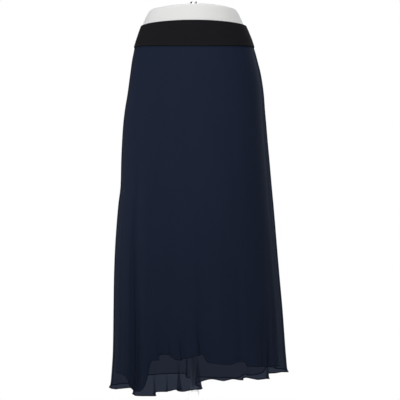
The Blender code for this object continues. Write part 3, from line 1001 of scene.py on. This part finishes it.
CROWN_FOOT = 1.0688  # at the band's top edge the crown has faded out
print("form's height:", FORM_STATIONS[0].height - FORM_STATIONS[-1].height)

# %% Form
FORM_COLUMNS = 160
FORM_ROWS = 79
CAP_SCALES = (0.02, 0.15, 0.30, 0.45, 0.60, 0.75, 0.90)  # the rings on the top, over the rim's size
SHARPEST = radians(40)  # edges that turn by more than this stay sharp


def closed_rings(name, rings):
    """A closed body from rings of points, top to bottom, with flat ends."""
    mesh = bmesh.new()
    grid = [[mesh.verts.new(point) for point in ring] for ring in rings]
    for upper, lower in zip(grid, grid[1:]):
        for column in range(len(upper)):
            beside = (column + 1) % len(upper)
            mesh.faces.new((upper[column], lower[column], lower[beside], upper[beside]))
    mesh.faces.new(grid[0])
    mesh.faces.new(grid[-1])
    bmesh.ops.recalc_face_normals(mesh, faces=mesh.faces)
    data = bpy.data.meshes.new(name)
    mesh.to_mesh(data)
    mesh.free()
    data.shade_smooth()
    data.set_sharp_from_angle(angle=SHARPEST)
    return linked(name, data)


def form_ring(step, scale=1.0):
    """The form's outline at a step down its table, or the same shrunk about the axis, on its top."""
    angles = np.linspace(0, 2 * pi, FORM_COLUMNS, endpoint=False)
    height = along(FORM_STATIONS, "height", step)
    side, depth = reaches(FORM_STATIONS, step, angles)
    x = scale * side * np.sin(angles)
    y = -scale * depth * np.cos(angles)
    near_top = np.clip((height - CROWN_FOOT) / (FORM_STATIONS[0].height - CROWN_FOOT), 0, 1)
    crown = CROWN * bump(x - CROWN_MIDDLE, CROWN_REACH) * near_top
    return np.stack((x, y, height + crown), axis=-1).tolist()


cap = [form_ring(0, scale) for scale in CAP_SCALES]
sides = [form_ring(step) for step in np.linspace(0, FORM_STATIONS[-1].step, FORM_ROWS)]
form = closed_rings("hip_form", cap + sides)
form.data.materials.append(form_skin)
print("form faces:", len(form.data.polygons))

# %% [markdown]
# ## The stand
# The spigot, the pole and the foot are turned on a lathe, so each is a profile swung round the axis. A
# cylinder with a Bevel modifier would come close, but a profile can also flare, as the foot does under its
# socket. Small bevels on the edges catch the light. The spigot is polished, the pole dark steel, and the
# foot white paint: a white pole would shine through the overlay, and a dark socket would show below its
# hem.

# %% Stand materials
CHROME = (0.72, 0.72, 0.73)
BRUSHING = Pattern((60, 60, 2500), 2.0, 0.94, 1.04, 0.00001)  # fine rings round the spigot
STEEL = (0.078, 0.094, 0.145)
DRAWING = Pattern((500, 500, 8), 2.0, 0.95, 1.05, 0.000004)  # long marks down the pole
PAINT = (0.86, 0.86, 0.86)
DIMPLES = Pattern((420, 420, 420), 1.0, 0.99, 1.01, 0.00003)  # the skin of sprayed paint

chrome = patterned("spigot_chrome", CHROME, 0.14, BRUSHING, Metallic=1.0)
steel = patterned("pole_steel", STEEL, 0.60, DRAWING, Specular_IOR_Level=0.3)
paint = patterned("stand_paint", PAINT, 0.45, DIMPLES, Specular_IOR_Level=0.3)
print("stand:", chrome.name, steel.name, paint.name)

# %% Stand profiles
Turn = namedtuple("Turn", "radius height")
SEAT = FORM_STATIONS[0].height + CROWN + 0.0001  # the spigot's flange rests here
FLANGE = 0.0034
SPIGOT_TOP = 1.1310
SPIGOT_PROFILE = (
    Turn(0.0080, SPIGOT_TOP),
    Turn(0.0092, SPIGOT_TOP - 0.0004),
    Turn(0.0098, SPIGOT_TOP - 0.0010),
    Turn(0.0100, SPIGOT_TOP - 0.0020),
    Turn(0.0100, SEAT + FLANGE),
    Turn(0.0145, SEAT + FLANGE),
    Turn(0.0152, SEAT + FLANGE - 0.0003),
    Turn(0.0155, SEAT + FLANGE - 0.0010),
    Turn(0.0155, SEAT),
)
SOCKET_TOP = 0.1028
POLE_RADIUS = 0.0090
POLE_GAP = 0.0003  # what parts the pole's ends from the form and the socket
POLE_PROFILE = (
    Turn(POLE_RADIUS, FORM_STATIONS[-1].height - POLE_GAP),
    Turn(POLE_RADIUS, SOCKET_TOP + POLE_GAP),
)
PLATE = 0.0080  # the foot's thickness
FOOT_PROFILE = (
    Turn(0.0115, SOCKET_TOP),
    Turn(0.0128, SOCKET_TOP - 0.0006),
    Turn(0.0134, SOCKET_TOP - 0.0020),
    Turn(0.0140, 0.0300),
    Turn(0.0148, 0.0200),
    Turn(0.0166, 0.0120),
    Turn(0.0200, 0.0090),
    Turn(0.0240, PLATE),
    Turn(0.1630, PLATE),
    Turn(0.1644, 0.0074),
    Turn(0.1650, 0.0060),
    Turn(0.1650, 0.0010),
    Turn(0.1645, 0.0000),
)
print("foot's radius:", max(turn.radius for turn in FOOT_PROFILE))

# %% Stand
TURNED_SIDES = 96


def turned(name, profile, material):
    """A closed body of revolution from a profile, top to bottom."""
    turns = np.linspace(0, 2 * pi, TURNED_SIDES, endpoint=False)
    rings = [[(reach * sin(turn), -reach * cos(turn), height) for turn in turns] for reach, height in profile]
    made = closed_rings(name, rings)
    made.data.materials.append(material)
    return made


spigot = turned("spigot", SPIGOT_PROFILE, chrome)
pole = turned("stand_pole", POLE_PROFILE, steel)
foot = turned("stand_foot", FOOT_PROFILE, paint)
print("turned pieces:", spigot.name, pole.name, foot.name)

# %% [markdown]
# ## Sewing at the band
# The overlay and the lining are caught in the band's lower edge with a row of close black stitches. They
# lie on the band's face a few millimetres above the edge. They could be a relief, but real ones stand up
# from the cloth, and the sewing tree makes them from a line round the band.

# %% Band stitches
FUZZ = Pattern((900, 900, 900), 1.0, 0.75, 1.25, 0.0001)
BAND_STITCHES = Sewing(0.00028, 0.0024, 0.0034)
ABOVE_EDGE = 0.0045  # how far above the band's lower edge the row runs
ROW_STEPS = 361

black_thread = patterned("black_thread", BAND_BLACK, 0.75, FUZZ, Specular_IOR_Level=0.2)
turns = np.linspace(0, 2 * pi, ROW_STEPS)
band_line = oval(BAND_SECTIONS, band_lower_edge(turns) + ABOVE_EDGE, turns, 0.0)
band_row = sewn_line("band_stitches", band_line, BAND_STITCHES, black_thread)

# %% [markdown]
# ## The floor
# A sheet of pale paper on the floor catches the foot's soft shadow. A larger one would reach into the view
# and grey the photograph's white ground, so it is only wider than the stand.

# %% Floor
FLOOR_RADIUS = 0.46
FLOOR_SIDES = 128
PAPER = (0.90, 0.90, 0.90)
FIBRES = (40, 40, 40)  # patches a metre

floor_paper, tree, shader = principled("floor_paper", PAPER, 0.9, Specular_IOR_Level=0.1)
tinted(tree, shader, PAPER, patches(tree, in_place(tree), FIBRES), 0.99, 1.01)
turns = np.linspace(0, 2 * pi, FLOOR_SIDES, endpoint=False)
rim = [(FLOOR_RADIUS * cos(turn), FLOOR_RADIUS * sin(turn), 0.0) for turn in turns]
data = bpy.data.meshes.new("studio_floor")
data.from_pydata(rim, [], [list(range(FLOOR_SIDES))])
floor = linked("studio_floor", data)
floor.data.materials.append(floor_paper)
print("floor's radius:", FLOOR_RADIUS)

# %% [markdown]
# ## Which solid each piece stands for
# Every piece rides on the one body, and the solid that it stands for is hidden, so that only the finer
# piece shows. The area of each sheet of cloth is printed.

# %% Attaching the pieces


def area_of(sheet):
    return sum(face.area for face in sheet.data.polygons)


def belongs(piece, finish, *nodes):
    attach(piece, "root")
    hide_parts(*nodes)


for label in ("front", "back"):
    belongs(panels[label], "overlay_cloth", "skirt_" + label)
    belongs(linings[label], "lining_cloth", "lining_" + label)
    for piece in sewing_pieces[label]:
        belongs(piece, "overlay_cloth", "skirt_" + label)
    for piece in sewing_pieces["lining_" + label]:
        belongs(piece, "lining_cloth", "lining_" + label)
    print(label, "areas:", round(area_of(panels[label]), 4), round(area_of(linings[label]), 4))
belongs(band, "band_cloth", "waistband")
belongs(band_row, "band_cloth", "waistband")
belongs(form, "form_skin", "form_body")
belongs(spigot, "spigot_metal", "form_spigot")
belongs(pole, "pole_steel", "form_pole")
belongs(foot, "stand_paint", "form_base")
